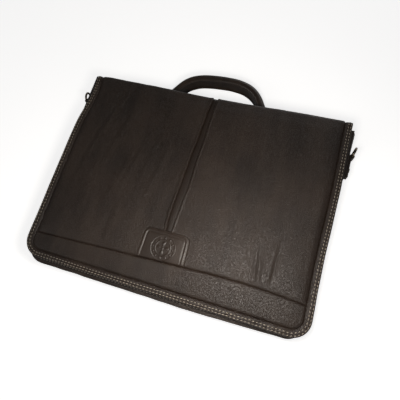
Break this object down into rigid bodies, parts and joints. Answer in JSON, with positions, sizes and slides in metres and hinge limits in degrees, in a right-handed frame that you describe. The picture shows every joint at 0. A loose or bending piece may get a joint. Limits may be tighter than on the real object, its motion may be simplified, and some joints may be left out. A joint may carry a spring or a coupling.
{
  "type": "briefcase",
  "caption": "Full-flap leather briefcase lying on its back, with a padded top handle, pleated flap, two lined compartments, a zipped pocket and strap rings.",
  "frame": {"origin": "on the underside of the back panel, half way along and across the flap", "axes": "+X across the case to the right, +Y from the base to the handle, +Z from the back panel up through the flap"},
  "size_m": [0.432, 0.3537, 0.061],
  "materials": {
    "grain_leather": "dark brown pebble-grained leather, satin",
    "pleat_leather": "dark brown leather in the fold of the pleat",
    "patch_leather": "dark brown smooth leather",
    "tab_leather": "dark brown leather with dyed edges",
    "handle_leather": "dark brown smooth leather, rubbed",
    "handle_cord": "twisted cord core",
    "stiff_board": "pressed fibre board",
    "lining_cloth": "plain woven lining",
    "padding": "soft wadding",
    "zip_tape": "woven zip tape",
    "zip_coil": "moulded nylon coil",
    "dark_metal": "dark antiqued metal",
    "magnet_metal": "plated steel magnet case"
  },
  "bodies": {
    "case": {"back_panel": "grain_leather", "back_board": "stiff_board", "back_lining": "lining_cloth", "slip_pocket": "lining_cloth", "gusset_left": "grain_leather", "gusset_right": "grain_leather", "gusset_base": "grain_leather", "base_board": "stiff_board", "divider": "lining_cloth", "divider_trim": "grain_leather", "front_lining": "lining_cloth", "front_board": "stiff_board", "front_panel": "grain_leather", "pocket_panel": "grain_leather", "pocket_trim": "grain_leather", "zip_tapes": "zip_tape", "zip_coil": "zip_coil", "zip_stops": "dark_metal", "magnet_sockets": "magnet_metal", "ring_tab_left": "tab_leather", "ring_tab_right": "tab_leather", "tab_rivets": "dark_metal"},
    "spine": {"spine_panel": "grain_leather", "spine_board": "stiff_board", "spine_lining": "lining_cloth", "handle_feet": "tab_leather", "handle_rivets": "dark_metal"},
    "flap": {"flap_lining": "lining_cloth", "flap_border": "grain_leather", "flap_padding": "padding", "flap_band": "grain_leather", "flap_left_panel": "grain_leather", "flap_right_panel": "grain_leather", "flap_pleat": "pleat_leather", "flap_patch": "patch_leather", "magnet_studs": "magnet_metal"},
    "handle": {"handle_cover": "handle_leather", "handle_core": "handle_cord"},
    "ring_left": {"d_ring_left": "dark_metal"},
    "ring_right": {"d_ring_right": "dark_metal"},
    "zip_slider": {"zip_slider": "dark_metal"},
    "zip_puller": {"zip_puller": "dark_metal"}
  },
  "joints": [
    {"name": "spine_fold", "type": "hinge", "parent": "case", "child": "spine", "pos_m": [0, 0.149, 0.0008], "axis": [-1, 0, 0], "range_deg": [0, 120]},
    {"name": "flap_fold", "type": "hinge", "parent": "spine", "child": "flap", "pos_m": [0, 0.149, 0.0592], "axis": [-1, 0, 0], "range_deg": [0, 90]},
    {"name": "handle_swing", "type": "hinge", "parent": "spine", "child": "handle", "pos_m": [0, 0.1627, 0.03], "axis": [1, 0, 0], "range_deg": [-60, 60]},
    {"name": "ring_left_swing", "type": "hinge", "parent": "case", "child": "ring_left", "pos_m": [-0.2105, 0.11, 0.034], "axis": [0, 0, 1], "range_deg": [-10, 140]},
    {"name": "ring_right_swing", "type": "hinge", "parent": "case", "child": "ring_right", "pos_m": [0.2105, 0.11, 0.034], "axis": [0, 0, -1], "range_deg": [-10, 140]},
    {"name": "zip_slide", "type": "slide", "parent": "case", "child": "zip_slider", "axis": [-1, 0, 0], "range_m": [0, 0.26]},
    {"name": "zip_puller_swing", "type": "hinge", "parent": "zip_slider", "child": "zip_puller", "pos_m": [0.13, 0.093, 0.051], "axis": [0, 0, 1], "range_deg": [-50, 50]}
  ]
}
